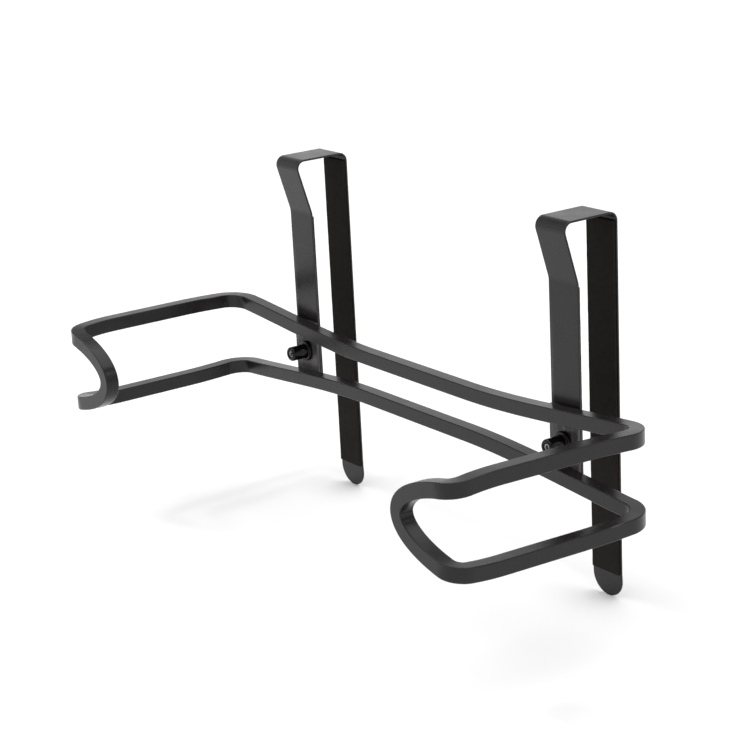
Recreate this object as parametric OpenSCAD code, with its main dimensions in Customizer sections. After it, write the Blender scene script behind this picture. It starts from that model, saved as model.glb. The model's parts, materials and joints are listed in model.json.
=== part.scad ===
// Over-door bag holder: a bent bar loop that hangs on a cabinet door by two strap hooks.
// Origin: the door's front top edge, midway between the hooks.
// +X to the right, +Y into the cabinet, through the door, and +Z up.

/* [Door] */
// Space between the two legs' liners, which is the thickest door that fits
door_gap = 20; // [17:0.5:26]

/* [Hooks] */
// Distance between the two hooks' centre lines
hook_spacing = 201.5; // [150:0.5:260]
// Width of the strap
strap_w = 19; // [15:0.5:25]
// Thickness of the strap
strap_t = 1; // [0.8:0.1:2]
// Inner radius of the two top bends
strap_bend_r = 3.5; // [1:0.1:5]
// How far the hook's top reaches forward of the front leg
crook_reach = 8.1; // [0:0.1:14]
// Depth of the front leg's kink below the door's top edge
kink_depth = 27.5; // [20:0.5:40]
// Inner radius of the kink
kink_r = 10; // [3:0.5:16]
// Depth of the rear leg's crease below the door's top edge
crease_depth = 170; // [140:0.1:210]
// Length of the tip below the crease
tip_l = 12.4; // [10.5:0.1:20]
// Angle of the tip away from the door
tip_flare = 3; // [0:0.5:20]

/* [Liners] */
// Thickness of the soft liners on the legs
liner_t = 1; // [0.6:0.1:2]
// Strap margin left bare beside a liner
liner_margin = 0.5; // [0:0.1:2]

/* [Bar loop] */
// Side of the loop's square bar
bar = 7; // [5:0.1:9]
// Chamfer of the bar's edges
bar_edge = 0.55; // [0.5:0.05:1.5]
// Depth of the loop's middle below the door's top edge
loop_depth = 101.3; // [90:0.1:110]
// Distance between the two rear corners' centre lines
loop_w = 316.7; // [260:0.1:390]
// Depth of the loop, from the rear rails to the return bars
loop_d = 102.2; // [80:0.1:130]
// Radius of a rear corner's centre line
rear_r = 11.6; // [9:0.1:16]
// Radius of a front corner's centre line
front_r = 6.9; // [6:0.1:12]
// Angle by which each arm leans towards the other
arm_splay = 1.9; // [0:0.1:5]
// Upward slope of the arms
arm_rise = 1.1; // [0:0.1:3]
// Distance between the rails in the middle of the back
waist_gap = 20.8; // [15:0.1:26]
// Distance between the rails along the arms
arm_gap = 38.9; // [34:0.1:46]
// Length of the middle of the back where the rails run parallel
waist_flat = 76; // [40:1:100]
// Length of bar, from the middle of the back, over which the rails part
waist_reach = 190; // [170:1:205]
// Length of the round end of the loop
end_l = 54.6; // [40:0.1:70]
// Distance from the front corner to the tip of the round end
return_l = 32.8; // [28:0.1:40]

/* [Clamp screws] */
// Major diameter of the clamp screw
screw_d = 4; // [3:0.1:5]
// Outer diameter of the threaded sleeve
sleeve_d = 7.4; // [5.6:0.1:9]
// How far the sleeve stands out in front of its plate
sleeve_l = 10.6; // [9:0.1:14]
// Diameter of the sleeve's collar
collar_d = 10.4; // [9.5:0.1:12]
// Thickness of the sleeve's collar
collar_t = 1.5; // [1:0.1:3]
// Thickness of the plate that carries the sleeve
plate_t = 1.5; // [1:0.1:3]
// Diameter of the soft tip cap
cap_d = 7; // [6:0.1:9]
// Across flats of the screw's hexagon socket
socket_af = 2; // [1.5:0.1:2.5]

/* [Hidden] */
fit_gap = 0.05;          // radial clearance of a running fit
free_gap = 0.3;          // clearance between parts that only pass each other
arc_steps = 8;           // straight steps in one bend of the strap
socket_deep = 2.4;       // depth of the hexagon socket
mouth_recess = 0.6;      // the screw's end sits this far inside the sleeve at rest
cap_face = 0.7;          // thickness of the tip cap's closed end
neck_d = 2.4;            // groove behind the screw's ball end
ball_d = 3.2;            // ball end, snapped into the tip cap
ball_l = 0.55;           // length of the ball end
foot_inset = 1.2;        // the front leg's foot ends this far inside the lower rail's outer edge
plate_inset = 1;         // the plate ends this far inside the rails' outer edges
liner_inset = 1;         // the front liner ends this far above the foot
pass = 1;                // how far a cut runs past the surface it opens

// Planes across the door's thickness, from the door's front face towards the user
leg_back = -liner_t;                     // rear face of the front leg's strap
leg_front = leg_back - strap_t;          // its front face, and the plate's rear face
plate_front = leg_front - plate_t;       // the plate's front face, and the rails' rear face
rail_mid = plate_front - bar / 2;        // the rails' centre line
sleeve_front = plate_front - sleeve_l;   // the sleeve's open end
rear_leg_front = door_gap + liner_t;     // front face of the rear leg's strap

// Bar loop, along the centre line of the bar from the middle of the back
half_flat = loop_w / 2 - rear_r;                        // end of the straight back
rear_turn = 90 + arm_splay;                             // angle of a rear corner
front_turn = 90 - arm_splay;                            // angle of a front corner
s_arm = half_flat + rear_r * rear_turn * PI / 180;      // start of the straight arm
s_front = s_arm + loop_d - rear_r - front_r;            // end of the straight arm
s_return = s_front + front_r * front_turn * PI / 180;   // start of the return
s_tip = (s_front + s_return) / 2 + return_l;            // tip of the round end
s_end = s_tip - end_l;                                  // where the round end starts

hook_x = hook_spacing / 2;
hole_r = cap_d / 2 + free_gap;           // hole in the front leg for the tip cap
loop_z = -loop_depth;

// ---------- bar loop ----------

// Smooth step from 0 to 1
function ease(t) = let (c = min(max(t, 0), 1)) c * c * (3 - 2 * c);

// Half the distance between the rails at length s along the bar
function half_gap(s) =
    waist_gap / 2 + (arm_gap - waist_gap) / 2 * ease((s - waist_flat / 2) / (waist_reach - waist_flat / 2));

// Plan position and heading [x, y, angle] at length s along the right half of the loop
function plan(s) =
    s < half_flat ? [s, 0, 0]
    : s < s_arm ? let (a = (s - half_flat) / rear_r * 180 / PI)
        [half_flat + rear_r * sin(a), -rear_r * (1 - cos(a)), -a]
    : s < s_front ? let (p = plan_corner(), d = s - s_arm)
        [p[0] + d * cos(-rear_turn), p[1] + d * sin(-rear_turn), -rear_turn]
    : s < s_return ? let (p = plan_arm_end(), a = (s - s_front) / front_r * 180 / PI)
        [p[0] - front_r * (sin(rear_turn) - sin(rear_turn + a)),
         p[1] - front_r * (cos(rear_turn) - cos(rear_turn + a)), -rear_turn - a]
    : let (p = plan_arm_end(), d = s - s_return)
        [p[0] - front_r * sin(rear_turn) - d,
         p[1] - front_r * (cos(rear_turn) + 1), -180];
function plan_corner() = [half_flat + rear_r * sin(rear_turn), -rear_r * (1 - cos(rear_turn))];
function plan_arm_end() =
    plan_corner() + (s_front - s_arm) * [cos(rear_turn), -sin(rear_turn)];

// Centre line of the upper right quarter in [length, height], from the middle to the tip
back_steps = 10;
corner_steps = 7;
arm_steps = 5;
end_steps = 16;
quarter = concat(
    [for (i = [0 : back_steps - 1]) let (s = half_flat * i / back_steps) [s, half_gap(s)]],
    [for (i = [0 : corner_steps - 1])
        let (s = half_flat + (s_arm - half_flat) * i / corner_steps) [s, half_gap(s)]],
    [for (i = [0 : arm_steps - 1]) let (s = s_arm + (s_end - s_arm) * i / arm_steps) [s, half_gap(s)]],
    [for (i = [0 : end_steps]) let (a = 90 * i / end_steps)
        [s_end + end_l * sin(a), arm_gap / 2 * cos(a)]]
);
last = len(quarter) - 1;
// Whole ring: out along the upper right, back along the lower right, then the same on the left
ring = concat(
    quarter,
    [for (i = [last - 1 : -1 : 0]) [quarter[i][0], -quarter[i][1]]],
    [for (i = [1 : last]) [-quarter[i][0], -quarter[i][1]]],
    [for (i = [last - 1 : -1 : 1]) [-quarter[i][0], quarter[i][1]]]
);
ring_n = len(ring);

// Section of the bar: a square with chamfered edges
section = let (h = bar / 2, c = bar / 2 - bar_edge)
    [[h, c], [c, h], [-c, h], [-h, c], [-h, -c], [-c, -h], [c, -h], [h, -c]];
section_n = len(section);

// Direction of the centre line at ring point i
function ring_dir(i) =
    let (d = ring[(i + 1) % ring_n] - ring[(i + ring_n - 1) % ring_n]) d / norm(d);

// Point of the bar's surface: u lies across the bar in its sheet, v stands out of the sheet
function bar_point(i, u, v) =
    let (d = ring_dir(i), p = ring[i] + u * [-d[1], d[0]],
         side = p[0] < 0 ? -1 : 1, q = plan(abs(p[0])),
         x = q[0] - sin(q[2]) * v, y = q[1] + cos(q[2]) * v + rail_mid)
    [side * x, y, loop_z + p[1] - (y - rail_mid) * tan(arm_rise)];

module frame_loop() {
    points = [for (i = [0 : ring_n - 1]) for (c = section) bar_point(i, c[0], c[1])];
    faces = [for (i = [0 : ring_n - 1]) for (k = [0 : section_n - 1])
        let (j = (i + 1) % ring_n, m = (k + 1) % section_n)
        [i * section_n + k, j * section_n + k, j * section_n + m, i * section_n + m]];
    color("#3b3b3d") polyhedron(points, faces, convexity = 6);
}

// ---------- strap hooks ----------

// Unit direction at an angle in the YZ plane
function dir(a) = [cos(a), sin(a)];

// Corner points of the strap's inner face in [y, z], from the foot of the front leg to the tip
foot_z = loop_z - half_gap(hook_x) - bar / 2 + foot_inset;
inner = [
    [leg_back, foot_z],
    [leg_back, -kink_depth],
    [leg_back - crook_reach, 0],
    [rear_leg_front, 0],
    [rear_leg_front, -crease_depth],
    [rear_leg_front + tip_l * sin(tip_flare), -crease_depth - tip_l * cos(tip_flare)]
];
// Inner radius at each corner, where a negative one is on the strap's other side
radii = [0, -kink_r, strap_bend_r, strap_bend_r, -strap_bend_r, 0];

// Points of one bend, offset by out from the inner face towards the outside of the hook
function bend(i, out) =
    let (a = inner[i] - inner[i - 1], b = inner[i + 1] - inner[i],
         da = a / norm(a), db = b / norm(b),
         turn = sign(da[1] * db[0] - da[0] * db[1]),
         r = abs(radii[i]) + (radii[i] < 0 ? strap_t : 0),
         half = acos(da * db) / 2,
         start = inner[i] - da * r * tan(half),
         centre = start + r * turn * [da[1], -da[0]],
         reach = turn > 0 ? r + out : r - out,
         a0 = atan2(start[1] - centre[1], start[0] - centre[0]))
    [for (k = [0 : arc_steps]) centre + reach * dir(a0 - turn * 2 * half * k / arc_steps)];

// Offset of an end of the path, square to its only segment
function end_point(i, j, out) =
    let (d = (inner[max(i, j)] - inner[min(i, j)]), n = [-d[1], d[0]] / norm(d)) inner[i] + out * n;

function strap_side(out) = concat(
    [end_point(0, 1, out)],
    [for (i = [1 : 4]) for (p = bend(i, out)) p],
    [end_point(5, 4, out)]
);
function reversed(list) = [for (i = [len(list) - 1 : -1 : 0]) list[i]];

// A flat shape in the YZ plane, given thickness w along X about the hook's centre
module across(w) {
    rotate([90, 0, 90]) translate([0, 0, -w / 2]) linear_extrude(w) children();
}

// Front outline of the strap, with its round tip, and deep enough to cover the whole hook
module strap_outline() {
    beyond = 30;
    tip_z = inner[5][1] + strap_w / 2;
    translate([0, door_gap + beyond, 0]) rotate([90, 0, 0]) linear_extrude(door_gap + 2 * beyond) {
        translate([-strap_w / 2, tip_z]) square([strap_w, beyond - tip_z]);
        translate([0, tip_z]) circle(d = strap_w, $fn = 64);
    }
}

// A hole along Y on the screw's axis, between two planes
module on_axis(r, y0, y1) {
    translate([0, y1, loop_z]) rotate([90, 0, 0]) cylinder(h = y1 - y0, r = r, $fn = 48);
}

module hook() {
    color("#38383a") difference() {
        intersection() {
            across(strap_w) polygon(concat(strap_side(0), reversed(strap_side(strap_t))));
            strap_outline();
        }
        on_axis(hole_r, leg_front - pass, leg_back + pass);
    }
}

// ---------- liners ----------

liner_w = strap_w - 2 * liner_margin;
// A liner fills the flat of its leg, from just below one bend to just above the next
kink_half = atan(crook_reach / kink_depth) / 2;
front_liner_top = -kink_depth - (kink_r + strap_t) * tan(kink_half) - fit_gap;
front_liner_foot = foot_z + liner_inset;
rear_liner_top = -strap_bend_r;
rear_liner_foot = -crease_depth + (strap_bend_r + strap_t) * tan(tip_flare / 2) + fit_gap;

module front_liner() {
    color("#26221f") difference() {
        translate([-liner_w / 2, leg_back, front_liner_foot])
            cube([liner_w, liner_t, front_liner_top - front_liner_foot]);
        on_axis(hole_r, leg_back - pass, pass);
    }
}

module rear_liner() {
    color("#26221f") translate([-liner_w / 2, door_gap, rear_liner_foot])
        cube([liner_w, liner_t, rear_liner_top - rear_liner_foot]);
}

// ---------- nut plate and welds ----------

plate_half = half_gap(hook_x) + bar / 2 - plate_inset;

module nut_plate() {
    color("#38383a") difference() {
        translate([-strap_w / 2, plate_front, loop_z - plate_half])
            cube([strap_w, plate_t, 2 * plate_half]);
        on_axis(sleeve_d / 2, plate_front - pass, leg_front + pass);
    }
}

bead_r = 1.2;   // a quarter-round fillet in the corner between a plate's side and a rail's back

// Four beads, where the plate's two sides cross the two rails
module weld_beads() {
    h = bar - 2 * bar_edge;
    color("#38383a") for (up = [-1, 1]) for (side = [-1, 1])
        translate([side * strap_w / 2, plate_front, loop_z + up * half_gap(hook_x + side * strap_w / 2)])
            intersection() {
                cylinder(h = h, r = bead_r, center = true, $fn = 32);
                translate([side > 0 ? 0 : -2 * bead_r, 0, -h]) cube([2 * bead_r, 2 * bead_r, 2 * h]);
            }
}

// ---------- clamp screws ----------

screw_front = sleeve_front + mouth_recess;   // the screw's socketed end at rest
cap_front = leg_front + free_gap;            // the cap's open end, just behind the sleeve
ball_end = -cap_face - fit_gap;              // the tip of the screw's ball end
ball_start = ball_end - ball_l;

// Turns a shape drawn upright into one along +Y on the screw's axis, with its foot at plane y
module along_axis(y) {
    translate([0, y, loop_z]) rotate([-90, 0, 0]) children();
}

// Sleeve with a collar against the plate's front and a spigot through the plate
module threaded_sleeve() {
    r = sleeve_d / 2;
    bore = screw_d / 2 + fit_gap;
    edge = 0.6;
    color("#141415") along_axis(sleeve_front) rotate_extrude($fn = 64) polygon([
        [bore + edge / 2, 0],
        [r - edge, 0],
        [r, edge],
        [r, sleeve_l - collar_t],
        [collar_d / 2, sleeve_l - collar_t],
        [collar_d / 2, sleeve_l],
        [r, sleeve_l],
        [r, sleeve_l + plate_t],
        [bore, sleeve_l + plate_t],
        [bore, edge / 2]
    ]);
}

// Headless screw with a hexagon socket and a ball end for the cap
module clamp_screw() {
    l = leg_front - screw_front;
    neck = ball_start - screw_front;
    color("#1b1b1c") difference() {
        along_axis(screw_front) {
            cylinder(h = l, d = screw_d, $fn = 48);
            cylinder(h = neck, d = neck_d, $fn = 48);
            translate([0, 0, neck]) cylinder(h = ball_l, d = ball_d, $fn = 48);
        }
        along_axis(screw_front - pass)
            cylinder(h = socket_deep + pass, d = socket_af / cos(30), $fn = 6);
    }
}

// Soft cap, snapped over the ball end and free to turn on it
module tip_cap() {
    neck_r = neck_d / 2 + fit_gap;
    ball_r = ball_d / 2 + fit_gap;
    ball_from = ball_start - fit_gap - cap_front;
    edge = 0.3;
    color("#26221f") along_axis(cap_front) rotate_extrude($fn = 48) polygon([
        [neck_r, 0],
        [cap_d / 2, 0],
        [cap_d / 2, -cap_front - edge],
        [cap_d / 2 - edge, -cap_front],
        [0, -cap_front],
        [0, -cap_face - cap_front],
        [ball_r, -cap_face - cap_front],
        [ball_r, ball_from],
        [neck_r, ball_from]
    ]);
}

// Places a part drawn on the hook's centre line on the right (1) or, mirrored, on the left (-1)
module at(side) {
    mirror([side < 0 ? 1 : 0, 0, 0]) translate([hook_x, 0, 0]) children();
}

frame_loop();
at(-1) hook();  // left_hook
at(1) hook();  // right_hook
at(-1) front_liner();  // left_front_liner
at(1) front_liner();  // right_front_liner
at(-1) rear_liner();  // left_rear_liner
at(1) rear_liner();  // right_rear_liner
at(-1) nut_plate();  // left_nut_plate
at(1) nut_plate();  // right_nut_plate
at(-1) threaded_sleeve();  // left_threaded_sleeve
at(1) threaded_sleeve();  // right_threaded_sleeve
at(-1) clamp_screw();  // left_clamp_screw
at(1) clamp_screw();  // right_clamp_screw
at(-1) tip_cap();  // left_tip_cap
at(1) tip_cap();  // right_tip_cap
at(-1) weld_beads();  // left_weld_beads
at(1) weld_beads();  // right_weld_beads
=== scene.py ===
"""Over-door bag holder: a bent bar loop on two strap hooks, with clamp screws that press on the door."""
import json
from math import atan2, cos, pi, radians, sin, tan

import bmesh
import bpy
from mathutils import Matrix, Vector, noise


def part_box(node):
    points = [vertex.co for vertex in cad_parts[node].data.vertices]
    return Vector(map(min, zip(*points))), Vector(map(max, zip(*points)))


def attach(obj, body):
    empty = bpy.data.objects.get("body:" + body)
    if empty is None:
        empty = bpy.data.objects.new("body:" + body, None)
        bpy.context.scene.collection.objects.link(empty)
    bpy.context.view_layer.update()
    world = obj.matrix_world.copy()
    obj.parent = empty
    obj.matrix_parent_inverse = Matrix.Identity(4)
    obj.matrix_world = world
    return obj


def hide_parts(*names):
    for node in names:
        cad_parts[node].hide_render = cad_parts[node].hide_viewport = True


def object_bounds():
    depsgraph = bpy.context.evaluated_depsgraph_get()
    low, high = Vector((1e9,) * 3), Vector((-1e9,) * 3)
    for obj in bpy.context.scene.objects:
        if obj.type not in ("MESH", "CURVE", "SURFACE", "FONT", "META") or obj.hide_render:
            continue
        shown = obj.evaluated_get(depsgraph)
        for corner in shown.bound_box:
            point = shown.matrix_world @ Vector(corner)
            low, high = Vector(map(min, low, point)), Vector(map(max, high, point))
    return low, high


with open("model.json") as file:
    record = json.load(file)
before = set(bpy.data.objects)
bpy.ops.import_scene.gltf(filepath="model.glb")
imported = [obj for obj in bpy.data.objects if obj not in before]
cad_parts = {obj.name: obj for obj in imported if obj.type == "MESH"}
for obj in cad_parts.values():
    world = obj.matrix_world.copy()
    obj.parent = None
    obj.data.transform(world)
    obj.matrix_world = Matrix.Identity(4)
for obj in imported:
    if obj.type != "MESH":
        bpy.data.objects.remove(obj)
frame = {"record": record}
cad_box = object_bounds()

MM = 0.001

# ---------- camera ----------

CAMERA_AT = (0.73823, -0.55924, 0.19741)
CAMERA_TURN = (72.630, 2.846, 53.606)    # degrees about X, Y and Z
CAMERA_LENS = 96.467                      # millimetres, on a 36 mm sensor

camera_data = bpy.data.cameras.new("camera")
camera_data.sensor_width = 36
camera_data.lens = CAMERA_LENS
camera = bpy.data.objects.new("camera", camera_data)
camera.location = CAMERA_AT
camera.rotation_euler = [radians(a) for a in CAMERA_TURN]
bpy.context.scene.collection.objects.link(camera)
bpy.context.scene.camera = camera

# ---------- places and sizes from the frame ----------

mounts = {m["name"]: Vector(m["pos_m"]) for m in frame["record"]["mounts"]}
HOOK_X, _, LOOP_Z = mounts["right_clamp_face"]
SIDES = {"left": -1, "right": 1}

hook_low, hook_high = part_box("right_hook")
plate_low, plate_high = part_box("right_nut_plate")
front_foam_low, front_foam_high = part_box("right_front_liner")
rear_foam_low, rear_foam_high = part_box("right_rear_liner")
sleeve_low, sleeve_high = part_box("right_threaded_sleeve")
screw_low, screw_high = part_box("right_clamp_screw")
cap_low, cap_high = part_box("right_tip_cap")

STRAP_HALF = (hook_high.x - hook_low.x) / 2
STRAP_T = 1.0 * MM
LEG_BACK = front_foam_low.y              # rear face of the front leg
REAR_LEG = rear_foam_high.y              # front face of the rear leg
PLATE_FRONT = plate_low.y                # the rails' rear face

# Hook, as in the CAD part
BEND_R = 3.5 * MM
CROOK_REACH = 8.1 * MM
KINK_DEPTH = 27.5 * MM
KINK_R = 10.0 * MM
CREASE_DEPTH = 170.0 * MM
TIP_L = 12.4 * MM
TIP_FLARE = radians(3.0)
CAP_HOLE_R = 3.8 * MM

# Bar loop, as in the CAD part
BAR = 7.0 * MM
BAR_EDGE = 0.55 * MM
LOOP_W = 316.7 * MM
LOOP_D = 102.2 * MM
REAR_R = 11.6 * MM
FRONT_R = 6.9 * MM
ARM_SPLAY = radians(1.9)
ARM_RISE = radians(1.1)
WAIST_GAP = 20.8 * MM
ARM_GAP = 38.9 * MM
WAIST_FLAT = 76.0 * MM
WAIST_REACH = 190.0 * MM
END_L = 54.6 * MM
RETURN_L = 32.8 * MM

# Clamp screw, as in the CAD part
SCREW_R = 2.0 * MM
PITCH = 0.7 * MM
THREAD_DEPTH = 0.38 * MM
THREAD_GAP = 0.1 * MM
SLEEVE_R = 3.7 * MM
COLLAR_R = 5.2 * MM
COLLAR_T = 1.5 * MM
PLATE_T = plate_high.y - plate_low.y
SOCKET_AF = 2.0 * MM
SOCKET_DEEP = 2.4 * MM
NECK_R = 1.2 * MM
BALL_R = 1.6 * MM
BALL_L = 0.55 * MM
CAP_R = 3.5 * MM
CAP_FACE = 0.7 * MM
FIT_GAP = 0.05 * MM

# Fineness and finish of the meshes
ARC_POINTS = 40                          # points round a half circle
BEND_STEPS = 14                          # steps in one bend of the strap
BACK_STEPS = 60                          # steps along the straight back, to the rear corner
CORNER_STEPS = 24                        # steps round a rear corner
ARM_STEPS = 30                           # steps from the rear corner to the round end
END_STEPS = 64                           # steps along a quarter of a round end
STRAP_EDGE = 0.3 * MM                    # rounding of the strap's and plate's edges
FOAM_EDGE = 0.22 * MM                    # rounding of the foam's edges
FOAM_STEP = 3.0 * MM                     # distance between the foam's rows
FOAM_HOLE_R = CAP_HOLE_R + 0.2 * MM
WAVER = 0.12 * MM                        # how far a cut foam edge wanders
WAVER_ACROSS = 7                         # how fast the wander changes across a strip,
WAVER_ASIDE = 90                         # from one side's liner to the other's,
WAVER_ALONG = 400                        # and along a strip

# Welds
BEAD_R = 1.2 * MM
BEAD_ROOT = 0.1 * MM                     # how far a bead's root reaches into what it joins
BEAD_STEPS = 36                          # steps along a bead
BEAD_FAN = 8                             # steps across a bead
BEAD_RIPPLES = 5
BEAD_RIPPLE_DEPTH = 0.07                 # share of a bead's reach
BEAD_END = 0.06                          # share of a bead's length that each blunt end takes
BEAD_FULLNESS = 0.35                     # power of the swell; a smaller one is fuller

# ---------- mesh helpers ----------


def new_object(name, bm):
    """Turns a bmesh into a linked object with outward normals."""
    bmesh.ops.recalc_face_normals(bm, faces=bm.faces)
    mesh = bpy.data.meshes.new(name)
    bm.to_mesh(mesh)
    bm.free()
    for polygon in mesh.polygons:
        polygon.use_smooth = True
    piece = bpy.data.objects.new(name, mesh)
    bpy.context.scene.collection.objects.link(piece)
    return piece


def skin(name, rings, looped=False):
    """A closed surface through rings of equally many points.

    A looped one joins its last ring to its first."""
    bm = bmesh.new()
    made = [[bm.verts.new(p) for p in ring] for ring in rings]
    around = len(rings[0])
    for i in range(len(made) if looped else len(made) - 1):
        a, b = made[i], made[(i + 1) % len(made)]
        for k in range(around):
            m = (k + 1) % around
            bm.faces.new((a[k], a[m], b[m], b[k]))
    if not looped:
        bm.faces.new(made[0])
        bm.faces.new(made[-1])
    return new_object(name, bm)


def rounded_path(corners, radii, steps):
    """The points of a flat path through the corners, each corner turned into an arc of its radius."""
    path = [corners[0]]
    for i in range(1, len(corners) - 1):
        into = (corners[i] - corners[i - 1]).normalized()
        out = (corners[i + 1] - corners[i]).normalized()
        if radii[i] == 0:
            path.append(corners[i])
            continue
        turn = atan2(into.x * out.y - into.y * out.x, into.dot(out))
        start = corners[i] - into * radii[i] * tan(abs(turn) / 2)
        inward = Vector((-into.y, into.x)) * (1 if turn > 0 else -1)
        centre = start + inward * radii[i]
        spoke = start - centre
        for k in range(steps + 1):
            a = turn * k / steps
            path.append(centre + Vector((spoke.x * cos(a) - spoke.y * sin(a),
                                         spoke.x * sin(a) + spoke.y * cos(a))))
    path.append(corners[-1])
    return path


def soften(piece, width, segments=3):
    """Rounds a piece's sharp edges, and keeps its flat faces flat to the light."""
    bevel = piece.modifiers.new("edges", "BEVEL")
    bevel.width = width
    bevel.segments = segments
    bevel.limit_method = "ANGLE"
    bevel.angle_limit = radians(50)
    piece.modifiers.new("normals", "WEIGHTED_NORMAL").keep_sharp = False


def ribbon(name, x, rows, half_width, thickness, hole=None, round_end=False, waver=0.0, columns=6):
    """A strip along rows of (y, z) points, grown by its thickness to the left of its direction.

    hole is (number of the row below it, height of its centre, radius).
    waver moves the long edges a little."""
    bm = bmesh.new()
    grid = []
    for row in rows:
        line = []
        for k in range(columns + 1):
            share = 2 * k / columns - 1
            place = Vector((x + share * half_width, row.x, row.y))
            spot = Vector((share * WAVER_ACROSS, x * WAVER_ASIDE, row.y * WAVER_ALONG))
            place.x += share * waver * noise.noise(spot)
            line.append(bm.verts.new(place))
        grid.append(line)
    for i in range(len(rows) - 1):
        a, b = grid[i], grid[i + 1]
        if hole and hole[0] == i:
            ring_with_hole(bm, x, a, b, hole[1], hole[2], columns)
            continue
        for k in range(columns):
            bm.faces.new((a[k], b[k], b[k + 1], a[k + 1]))
    if round_end:
        down = (rows[-1] - rows[-2]).normalized()
        arc = []
        for k in range(1, ARC_POINTS):
            a = pi * k / ARC_POINTS
            spot = rows[-1] + down * half_width * sin(a)
            arc.append(bm.verts.new((x + half_width * cos(a), spot.x, spot.y)))
        bm.faces.new(list(grid[-1]) + arc)
    piece = new_object(name, bm)
    first = piece.data.polygons[0].normal
    along = rows[1] - rows[0]
    left = Vector((0, -along.y, along.x)).normalized()
    thicken = piece.modifiers.new("thickness", "SOLIDIFY")
    thicken.thickness = thickness
    thicken.offset = 1 if first.dot(left) > 0 else -1
    thicken.use_even_offset = True
    return piece


def ring_with_hole(bm, x, low, high, z, radius, columns):
    """Fills the strip between two rows with two faces that leave a round hole between them."""
    y = low[0].co.y
    circle = []
    for k in range(2 * ARC_POINTS):
        a = pi * k / ARC_POINTS
        circle.append(bm.verts.new((x + radius * sin(a), y, z + radius * cos(a))))
    half = columns // 2
    right = circle[:ARC_POINTS + 1]
    left = circle[ARC_POINTS:] + circle[:1]
    bm.faces.new(list(high[half:]) + list(reversed(low[half:])) + list(reversed(right)))
    bm.faces.new(list(low[half::-1]) + list(high[:half + 1]) + list(reversed(left)))


# ---------- bar loop ----------

HALF_FLAT = LOOP_W / 2 - REAR_R
REAR_TURN = pi / 2 + ARM_SPLAY
FRONT_TURN = pi / 2 - ARM_SPLAY
S_ARM = HALF_FLAT + REAR_R * REAR_TURN
S_FRONT = S_ARM + LOOP_D - REAR_R - FRONT_R
S_RETURN = S_FRONT + FRONT_R * FRONT_TURN
S_END = (S_FRONT + S_RETURN) / 2 + RETURN_L - END_L
RAIL_MID = PLATE_FRONT - BAR / 2


def ease(t):
    """Smooth step from 0 to 1."""
    c = min(max(t, 0), 1)
    return c * c * (3 - 2 * c)


def half_gap(s):
    """Half the distance between the rails at length s along the bar."""
    parted = ease((s - WAIST_FLAT / 2) / (WAIST_REACH - WAIST_FLAT / 2))
    return (WAIST_GAP + (ARM_GAP - WAIST_GAP) * parted) / 2


def plan(s):
    """Plan position and heading (x, y, angle) at length s along the right half of the loop."""
    if s < HALF_FLAT:
        return s, 0, 0
    if s < S_ARM:
        a = (s - HALF_FLAT) / REAR_R
        return HALF_FLAT + REAR_R * sin(a), -REAR_R * (1 - cos(a)), -a
    corner_x = HALF_FLAT + REAR_R * sin(REAR_TURN)
    corner_y = -REAR_R * (1 - cos(REAR_TURN))
    d = min(s, S_FRONT) - S_ARM
    x = corner_x + d * cos(REAR_TURN)
    y = corner_y - d * sin(REAR_TURN)
    if s < S_FRONT:
        return x, y, -REAR_TURN
    a = min((s - S_FRONT) / FRONT_R, FRONT_TURN)
    x -= FRONT_R * (sin(REAR_TURN) - sin(REAR_TURN + a))
    y -= FRONT_R * (cos(REAR_TURN) - cos(REAR_TURN + a))
    return x - max(s - S_RETURN, 0), y, -REAR_TURN - a


def quarter_line():
    """Centre line of the upper right quarter in (length, height), from the back's middle to the tip."""
    points = []
    stretches = ((0, HALF_FLAT, BACK_STEPS), (HALF_FLAT, S_ARM, CORNER_STEPS), (S_ARM, S_END, ARM_STEPS))
    for start, stop, steps in stretches:
        for i in range(steps):
            s = start + (stop - start) * i / steps
            points.append(Vector((s, half_gap(s))))
    for i in range(END_STEPS + 1):
        a = pi / 2 * i / END_STEPS
        points.append(Vector((S_END + END_L * sin(a), ARM_GAP / 2 * cos(a))))
    return points


def rounded_square(side, radius, steps=5):
    """Section of the bar, its corners rounded."""
    flat = side / 2 - radius
    points = []
    for corner in range(4):
        cx = flat if corner in (0, 3) else -flat
        cy = flat if corner < 2 else -flat
        for i in range(steps + 1):
            a = pi / 2 * (corner + i / steps)
            points.append((cx + radius * cos(a), cy + radius * sin(a)))
    return points


def bar_point(p, d, u, v):
    """Point of the bar's surface at p on the centre line.

    u lies across the bar in its sheet, and v stands out of the sheet."""
    q = p + u * Vector((-d.y, d.x))
    x, y, heading = plan(abs(q.x))
    x -= sin(heading) * v
    y += cos(heading) * v + RAIL_MID
    return (-x if q.x < 0 else x, y, LOOP_Z + q.y - (y - RAIL_MID) * tan(ARM_RISE))


def bar_loop():
    """The closed ring of square bar, as one sweep."""
    quarter = quarter_line()
    lower = [Vector((p.x, -p.y)) for p in reversed(quarter[:-1])]
    right = quarter + lower
    ring = right + [Vector((-p.x, p.y)) for p in reversed(right[1:-1])]
    section = rounded_square(BAR, BAR_EDGE)
    rings = []
    for i, p in enumerate(ring):
        d = (ring[(i + 1) % len(ring)] - ring[i - 1]).normalized()
        rings.append([bar_point(p, d, u, v) for u, v in section])
    piece = skin("bar_loop", rings, looped=True)
    piece.modifiers.new("normals", "WEIGHTED_NORMAL").keep_sharp = False
    return piece


# ---------- hooks, liners and plates ----------

FOOT_INSET = 1.2 * MM                    # the strap's foot ends this far inside the lower rail
FOOT_Z = LOOP_Z - half_gap(HOOK_X) - BAR / 2 + FOOT_INSET
HOLE_ROWS = STRAP_HALF * 0.8             # from the hole's centre to the foam rows next to it


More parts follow.
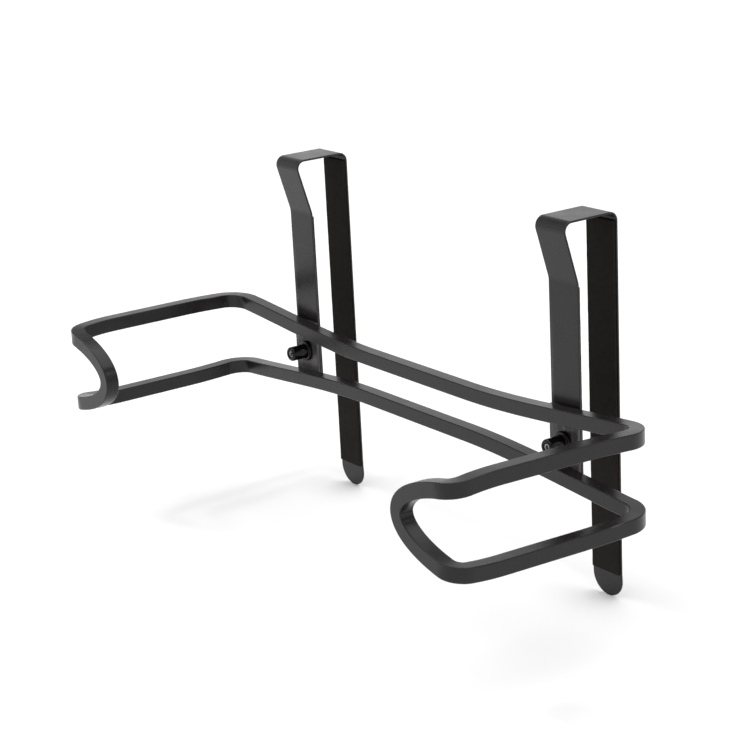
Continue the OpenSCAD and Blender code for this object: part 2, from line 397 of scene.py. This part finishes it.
def hook(name, x):
    """The bent strap, from its foot behind the lower rail to its round tip."""
    tip = TIP_L - STRAP_HALF
    corners = [
        Vector((LEG_BACK, FOOT_Z)),
        Vector((LEG_BACK, LOOP_Z - STRAP_HALF)),
        Vector((LEG_BACK, LOOP_Z + STRAP_HALF)),
        Vector((LEG_BACK, -KINK_DEPTH)),
        Vector((LEG_BACK - CROOK_REACH, 0)),
        Vector((REAR_LEG, 0)),
        Vector((REAR_LEG, -CREASE_DEPTH)),
        Vector((REAR_LEG + tip * sin(TIP_FLARE), -CREASE_DEPTH - tip * cos(TIP_FLARE))),
    ]
    radii = [0, 0, 0, KINK_R + STRAP_T, BEND_R, BEND_R, BEND_R + STRAP_T, 0]
    rows = rounded_path(corners, radii, BEND_STEPS)
    piece = ribbon(name, x, rows, STRAP_HALF, STRAP_T, hole=(1, LOOP_Z, CAP_HOLE_R), round_end=True)
    soften(piece, STRAP_EDGE)
    return piece


def straight_rows(y, z_from, z_to, step):
    """Rows down or up a leg, about a step apart."""
    count = max(1, round(abs(z_to - z_from) / step))
    return [Vector((y, z_from + (z_to - z_from) * i / count)) for i in range(count + 1)]


def front_foam(name, x):
    """The liner behind the front leg, with a hole for the cap."""
    low = straight_rows(front_foam_high.y, front_foam_low.z, LOOP_Z - HOLE_ROWS, FOAM_STEP)
    high = straight_rows(front_foam_high.y, LOOP_Z + HOLE_ROWS, front_foam_high.z, FOAM_STEP)
    half = (front_foam_high.x - front_foam_low.x) / 2
    piece = ribbon(name, x, low + high, half - WAVER, front_foam_high.y - front_foam_low.y,
                   hole=(len(low) - 1, LOOP_Z, FOAM_HOLE_R), waver=WAVER)
    soften(piece, FOAM_EDGE)
    return piece


def rear_foam(name, x):
    """The liner on the inside of the rear leg."""
    rows = straight_rows(rear_foam_low.y, rear_foam_high.z, rear_foam_low.z, FOAM_STEP)
    half = (rear_foam_high.x - rear_foam_low.x) / 2
    piece = ribbon(name, x, rows, half - WAVER, rear_foam_high.y - rear_foam_low.y, waver=WAVER)
    soften(piece, FOAM_EDGE)
    return piece


def weld_plate(name, x):
    """The plate that joins the rails and the strap, and carries the sleeve."""
    rows = [Vector((plate_high.y, plate_low.z)), Vector((plate_high.y, plate_high.z))]
    piece = ribbon(name, x, rows, STRAP_HALF, PLATE_T, hole=(0, LOOP_Z, SLEEVE_R))
    soften(piece, STRAP_EDGE)
    return piece


def weld_bead(name, x, side, up):
    """A rippled fillet in the corner between a plate's side and a rail's back."""
    middle = LOOP_Z + up * half_gap(abs(x + side * STRAP_HALF))
    length = BAR - 2 * BAR_EDGE
    rings = []
    for i in range(BEAD_STEPS + 1):
        t = i / BEAD_STEPS
        swell = sin(pi * min(max(t, BEAD_END), 1 - BEAD_END)) ** BEAD_FULLNESS
        ripple = 1 - BEAD_RIPPLE_DEPTH + BEAD_RIPPLE_DEPTH * abs(sin(pi * t * BEAD_RIPPLES))
        reach = BEAD_R * swell * ripple
        z = middle + (t - 0.5) * length
        ring = [(x + side * (STRAP_HALF - BEAD_ROOT), PLATE_FRONT - BEAD_ROOT, z)]
        for k in range(BEAD_FAN + 1):
            a = pi / 2 * k / BEAD_FAN
            ring.append((x + side * (STRAP_HALF + reach * cos(a)), PLATE_FRONT + reach * sin(a), z))
        rings.append(ring)
    return skin(name, rings)


# ---------- sleeve, screw and cap ----------

THREAD_STEPS = 8                         # rings in one pitch of thread
THREAD_SIDES = 48
THREAD_STEEPNESS = 1.4                   # above 1, the crest and the root get flats

MOUTH_CHAMFER = 0.25 * MM
MOUTH_L = 0.35 * MM                      # plain length of the bore at its mouth
NOSE_EDGE = 1.1 * MM
COLLAR_CORNER = 0.45 * MM
COLLAR_EDGE = 0.6 * MM
COLLAR_BACK_EDGE = 0.15 * MM
SLEEVE_BACK_EDGE = 0.1 * MM

DRILL_R = 0.9 * MM
DRILL_L = 0.45 * MM                      # depth of the drilled cone below the socket
DRILL_POINT_R = 0.15 * MM
SOCKET_CHAMFER = 0.16 * MM
SOCKET_MOUTH = 1.26                      # socket mouth's radius, in halves of its width
SCREW_CHAMFER = 0.12 * MM
THREAD_START = 0.3 * MM                  # from the screw's front to its thread
THREAD_END = 1.3 * MM                    # from the ball to the thread's end
SHOULDER_END = 1.15 * MM                 # from the ball to the shoulder's wide end
NECK_START = 0.8 * MM                    # from the ball to the neck's far end
SCREW_EDGE = 0.2 * MM
NECK_CORNER = 0.05 * MM
CENTRE_R = 0.1 * MM                      # flat left at the middle of the ball end and the cap

CUP_CORNER = 0.1 * MM
RIM_EDGE = 0.15 * MM
CAP_FRONT_EDGE = 0.3 * MM
CAP_FACE_EDGE = 0.4 * MM


def thread_radius(root, angle, y):
    """Radius of a right-hand thread at an angle about +Y and a place along it."""
    turn = (y / PITCH - angle / (2 * pi)) % 1
    crest = 1 - abs(2 * turn - 1)
    return root + THREAD_DEPTH * min(max(0.5 + (crest - 0.5) * THREAD_STEEPNESS, 0), 1)


def about_axis(x, radius, y):
    """A ring about the clamp screw's axis. radius and y are numbers, or functions of the angle."""
    ring = []
    for k in range(THREAD_SIDES):
        a = 2 * pi * k / THREAD_SIDES
        r = radius(a) if callable(radius) else radius
        ring.append((x + r * sin(a), y, LOOP_Z + r * cos(a)))
    return ring


def thread_rings(x, root, y_from, y_to):
    """Rings of a threaded surface between two places along the axis."""
    count = round(abs(y_to - y_from) / PITCH * THREAD_STEPS)
    rings = []
    for i in range(count + 1):
        y = y_from + (y_to - y_from) * i / count
        rings.append(about_axis(x, lambda a, y=y: thread_radius(root, a, y), y))
    return rings


def sleeve(name, x):
    """Collared barrel with a rounded nose and a threaded bore."""
    front, back = sleeve_low.y, sleeve_high.y
    root = SCREW_R - THREAD_DEPTH + THREAD_GAP
    mouth = SCREW_R + THREAD_GAP
    corners = [Vector(p) for p in (
        (mouth + MOUTH_CHAMFER, front),
        (SLEEVE_R, front),
        (SLEEVE_R, PLATE_FRONT - COLLAR_T),
        (COLLAR_R, PLATE_FRONT - COLLAR_T),
        (COLLAR_R, PLATE_FRONT),
        (SLEEVE_R, PLATE_FRONT),
        (SLEEVE_R, back),
        (mouth, back),
    )]
    radii = [0, NOSE_EDGE, COLLAR_CORNER, COLLAR_EDGE, COLLAR_BACK_EDGE, 0, SLEEVE_BACK_EDGE, 0]
    outside = [about_axis(x, p.x, p.y) for p in rounded_path(corners, radii, 6)]
    bore = thread_rings(x, root, back - SLEEVE_BACK_EDGE, front + MOUTH_L)
    return skin(name, outside + bore, looped=True)


def hexagon(across_flats):
    """The radius of a hexagon at an angle, for about_axis."""
    return lambda a: across_flats / 2 / cos((a + pi / 6) % (pi / 3) - pi / 6)


def screw(name, x):
    """Headless screw: hexagon socket, thread, neck and ball end."""
    front, tip = screw_low.y, screw_high.y
    ball = tip - BALL_L
    root = SCREW_R - THREAD_DEPTH
    socket = hexagon(SOCKET_AF)
    rings = [
        about_axis(x, DRILL_POINT_R, front + SOCKET_DEEP + DRILL_L),
        about_axis(x, DRILL_R, front + SOCKET_DEEP),
        about_axis(x, socket, front + SOCKET_DEEP),
        about_axis(x, socket, front + SOCKET_CHAMFER),
        about_axis(x, SOCKET_AF / 2 * SOCKET_MOUTH, front),
        about_axis(x, root - SCREW_CHAMFER, front),
        about_axis(x, root, front + SCREW_CHAMFER),
    ]
    rings += thread_rings(x, root, front + THREAD_START, ball - THREAD_END)
    corners = [Vector(p) for p in (
        (root, ball - SHOULDER_END),
        (NECK_R, ball - NECK_START),
        (NECK_R, ball),
        (BALL_R, ball),
        (BALL_R, tip),
        (CENTRE_R, tip),
    )]
    radii = [0, SCREW_EDGE, NECK_CORNER, SCREW_EDGE, SCREW_EDGE, 0]
    rings += [about_axis(x, p.x, p.y) for p in rounded_path(corners, radii, 4)]
    return skin(name, rings)


def rubber_tip(name, x):
    """Cup that snaps over the screw's ball end, with a soft rim."""
    front, back = cap_low.y, cap_high.y
    ball_from = screw_high.y - BALL_L - FIT_GAP
    corners = [Vector(p) for p in (
        (CENTRE_R, back - CAP_FACE),
        (BALL_R + FIT_GAP, back - CAP_FACE),
        (BALL_R + FIT_GAP, ball_from),
        (NECK_R + FIT_GAP, ball_from),
        (NECK_R + FIT_GAP, front),
        (CAP_R, front),
        (CAP_R, back),
        (CENTRE_R, back),
    )]
    radii = [0, CUP_CORNER, 0, RIM_EDGE, RIM_EDGE, CAP_FRONT_EDGE, CAP_FACE_EDGE, 0]
    return skin(name, [about_axis(x, p.x, p.y) for p in rounded_path(corners, radii, 5)])


# ---------- materials ----------


class Nodes:
    """Short calls for building one material's nodes."""

    def __init__(self, name, colour, roughness):
        self.material = bpy.data.materials.new(name)
        self.material.use_nodes = True
        self.tree = self.material.node_tree
        self.shader = self.tree.nodes["Principled BSDF"]
        self.shader.inputs["Base Color"].default_value = (*colour, 1)
        self.shader.inputs["Roughness"].default_value = roughness
        self.place = self.add("ShaderNodeTexCoord").outputs["Object"]

    def add(self, kind, **inputs):
        """A new node, each input linked to a socket or set to a constant."""
        node = self.tree.nodes.new(kind)
        for name, value in inputs.items():
            socket = node.inputs[name.replace("_", " ")]
            if isinstance(value, bpy.types.NodeSocket):
                self.tree.links.new(value, socket)
            else:
                socket.default_value = value
        return node

    def noise(self, size, detail=3.0, stretch=None):
        """Noise whose features are about this size in metres."""
        place = self.place
        if stretch:
            place = self.add("ShaderNodeMapping", Vector=place, Scale=stretch).outputs[0]
        return self.add("ShaderNodeTexNoise", Vector=place, Scale=1 / size, Detail=detail).outputs["Fac"]

    def range(self, value, low, high, start=0.3, stop=0.7):
        """A value between two limits, as another goes from start to stop."""
        node = self.add("ShaderNodeMapRange", Value=value,
                        From_Min=start, From_Max=stop, To_Min=low, To_Max=high)
        return node.outputs[0]

    def mixed(self, share, first, second):
        """A colour between two colours or sockets."""
        node = self.tree.nodes.new("ShaderNodeMix")
        node.data_type = "RGBA"
        self.tree.links.new(share, node.inputs["Factor"])
        for socket, value in ((node.inputs[6], first), (node.inputs[7], second)):
            if isinstance(value, bpy.types.NodeSocket):
                self.tree.links.new(value, socket)
            else:
                socket.default_value = (*value, 1)
        return node.outputs[2]

    def edges(self, start, stop):
        """1 on outward edges, 0 elsewhere."""
        return self.range(self.add("ShaderNodeNewGeometry").outputs["Pointiness"], 0, 1, start, stop)

    def set(self, **sockets):
        """Links or sets inputs of the material's shader."""
        for name, value in sockets.items():
            socket = self.shader.inputs[name.replace("_", " ")]
            if isinstance(value, bpy.types.NodeSocket):
                self.tree.links.new(value, socket)
            else:
                socket.default_value = value

    def bump(self, height, depth, strength=1.0, under=None):
        """Adds a relief of this depth in metres, over an earlier one."""
        node = self.add("ShaderNodeBump", Height=height, Distance=depth, Strength=strength)
        if under:
            self.tree.links.new(under, node.inputs["Normal"])
        self.tree.links.new(node.outputs[0], self.shader.inputs["Normal"])
        return node.outputs[0]


def powder_coat():
    """Satin black powder coat: fine orange peel, slightly uneven gloss, lighter on its edges, partly as
    coat worn thin there and partly as a painted highlight along them.
    """
    m = Nodes("powder_coat", (0.009, 0.008, 0.0085), 0.24)
    cloud = m.noise(30 * MM)
    body = m.mixed(cloud, (0.0085, 0.0072, 0.0075), (0.0115, 0.0098, 0.0102))
    # Outward edges are painted lighter: part edge wear, part painted highlight standing in for the thin
    # light lines along the bar's edges.
    edge_wear_and_highlight = m.mixed(m.edges(0.53, 0.60), body, (0.060, 0.055, 0.055))
    m.set(Base_Color=edge_wear_and_highlight, Roughness=m.range(m.noise(9 * MM), 0.22, 0.30), IOR=1.37)
    peel = m.bump(m.noise(0.9 * MM, 2), 0.010 * MM)
    m.bump(m.noise(0.18 * MM, 2), 0.004 * MM, under=peel)
    return m.material


def foam():
    """Closed-cell foam strip: brownish black, dull, finely pitted."""
    m = Nodes("foam", (0.016, 0.014, 0.012), 0.9)
    m.set(Base_Color=m.mixed(m.noise(6 * MM, 5), (0.010, 0.008, 0.0065), (0.016, 0.0135, 0.011)))
    m.set(Roughness=m.range(m.noise(2 * MM), 0.8, 0.95), Specular_IOR_Level=0.15)
    cells = m.add("ShaderNodeTexVoronoi", Vector=m.place, Scale=1 / (0.35 * MM)).outputs["Distance"]
    pits = m.bump(cells, 0.03 * MM, 0.5)
    m.bump(m.noise(4 * MM), 0.05 * MM, 0.4, under=pits)
    return m.material


def gloss_nylon():
    """Gloss black moulded sleeve."""
    m = Nodes("gloss_nylon", (0.003, 0.003, 0.0032), 0.1)
    m.set(Base_Color=m.mixed(m.noise(3 * MM), (0.0022, 0.0022, 0.0024), (0.004, 0.004, 0.0043)))
    m.set(Roughness=m.range(m.noise(1.5 * MM), 0.07, 0.14), IOR=1.3)
    m.bump(m.noise(0.8 * MM, 2), 0.004 * MM)
    return m.material


def blackened_steel():
    """Oxide-black screw steel with turning marks, its edges bright: partly rubbed bare, partly a painted
    glint, such as the bright crescents on the socket's rim.
    """
    m = Nodes("blackened_steel", (0.1, 0.1, 0.105), 0.35)
    # Edges painted bright: part rubbed steel, part painted glint on the socket's rim and the other
    # edges.
    rubbed_and_glinting_edges = m.edges(0.52, 0.57)
    m.set(Base_Color=m.mixed(rubbed_and_glinting_edges, (0.09, 0.09, 0.093), (0.5, 0.5, 0.51)), Metallic=1.0)
    m.set(Roughness=m.range(m.noise(0.8 * MM), 0.28, 0.45))
    m.bump(m.noise(0.2 * MM, 2, stretch=(1, 6, 1)), 0.006 * MM)
    return m.material


def rubber():
    """Soft dull rubber with a moulded grain."""
    m = Nodes("rubber", (0.015, 0.015, 0.015), 0.7)
    m.set(Base_Color=m.mixed(m.noise(2 * MM), (0.012, 0.012, 0.012), (0.02, 0.019, 0.018)))
    m.set(Roughness=m.range(m.noise(1 * MM), 0.62, 0.8), Specular_IOR_Level=0.4)
    m.bump(m.noise(0.25 * MM, 3), 0.015 * MM)
    return m.material


def pale_floor():
    """Near-white floor, very slightly cloudy."""
    m = Nodes("pale_floor", (0.9, 0.9, 0.9), 0.8)
    m.set(Base_Color=m.mixed(m.noise(200 * MM), (0.90, 0.90, 0.90), (0.93, 0.93, 0.93)))
    m.set(Specular_IOR_Level=0.1)
    return m.material


# ---------- the pieces on their bodies ----------

FINISHES = {
    "powder_coat": powder_coat(),
    "liner": foam(),
    "sleeve": gloss_nylon(),
    "screw_steel": blackened_steel(),
    "cap_rubber": rubber(),
}


def place(piece, slot, body, node):
    """Gives a piece its finish and its body, and hides the CAD node that it stands for."""
    piece.data.materials.append(FINISHES[slot])
    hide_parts(node)
    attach(piece, body)
    return piece


place(bar_loop(), "powder_coat", "holder", "frame_loop")
for side, sign in SIDES.items():
    x = sign * HOOK_X
    place(hook(f"{side}_strap_hook", x), "powder_coat", "holder", f"{side}_hook")
    for piece, node in (
        (front_foam(f"{side}_front_foam", x), f"{side}_front_liner"),
        (rear_foam(f"{side}_rear_foam", x), f"{side}_rear_liner"),
    ):
        place(piece, "liner", "holder", node)
    place(weld_plate(f"{side}_sleeve_plate", x), "powder_coat", "holder", f"{side}_nut_plate")
    place(sleeve(f"{side}_sleeve", x), "sleeve", "holder", f"{side}_threaded_sleeve")
    place(screw(f"{side}_set_screw", x), "screw_steel", f"{side}_screw", f"{side}_clamp_screw")
    place(rubber_tip(f"{side}_rubber_tip", x), "cap_rubber", f"{side}_cap", f"{side}_tip_cap")
    for number, (across, up) in enumerate(((-1, -1), (-1, 1), (1, -1), (1, 1)), 1):
        bead = weld_bead(f"{side}_weld_bead_{number}", x, across, up)
        place(bead, "powder_coat", "holder", f"{side}_weld_beads")

# ---------- floor and light ----------

FLOOR_HALF = 6.0
LAMP_TARGET = (0, 0, -0.1)
BRIGHT_BELOW = 0.35                      # height on the unit sphere up to which the backdrop is bright
DARK_ABOVE = 0.75                        # height from which it is dark
BACKDROP_BRIGHT = 0.98
BACKDROP_DARK = 0.1


def floor():
    """A wide floor at the height of the holder's lowest point."""
    bm = bmesh.new()
    z = cad_box[0].z
    corners = ((-1, -1), (1, -1), (1, 1), (-1, 1))
    bm.faces.new([bm.verts.new((a * FLOOR_HALF, b * FLOOR_HALF, z)) for a, b in corners])
    piece = new_object("floor", bm)
    piece.data.materials.append(pale_floor())


def softbox(name, at, size, power):
    """A square area light aimed at the holder."""
    data = bpy.data.lights.new(name, "AREA")
    data.size = size
    data.energy = power
    lamp = bpy.data.objects.new(name, data)
    lamp.location = at
    lamp.rotation_euler = (Vector(LAMP_TARGET) - Vector(at)).to_track_quat("-Z", "Y").to_euler()
    bpy.context.scene.collection.objects.link(lamp)


def ceiling_light(strength, spread):
    """Even light from overhead, as from a lit white ceiling. spread is its angle in degrees."""
    data = bpy.data.lights.new("ceiling_light", "SUN")
    data.energy = strength
    data.angle = radians(spread)
    lamp = bpy.data.objects.new("ceiling_light", data)
    bpy.context.scene.collection.objects.link(lamp)


def studio():
    """White backdrop that is bright near the horizon and darker overhead in reflections."""
    world = bpy.data.worlds.new("studio")
    world.use_nodes = True
    tree = world.node_tree
    add, link = tree.nodes.new, tree.links.new
    background = tree.nodes["Background"]
    height = add("ShaderNodeSeparateXYZ")
    link(add("ShaderNodeTexCoord").outputs["Generated"], height.inputs[0])
    ramp = add("ShaderNodeMapRange")
    link(height.outputs["Z"], ramp.inputs["Value"])
    ramp.inputs["From Min"].default_value = BRIGHT_BELOW
    ramp.inputs["From Max"].default_value = DARK_ABOVE
    ramp.inputs["To Min"].default_value = BACKDROP_BRIGHT
    ramp.inputs["To Max"].default_value = BACKDROP_DARK
    link(ramp.outputs[0], background.inputs["Color"])
    bpy.context.scene.world = world
    bpy.context.scene.view_settings.view_transform = "Standard"


floor()
studio()
ceiling_light(strength=2.65, spread=80)
softbox("key", at=(-0.5, -0.6, 0.9), size=0.10, power=1.4)
softbox("fill", at=(0.9, 0.5, 0.7), size=0.3, power=0.5)
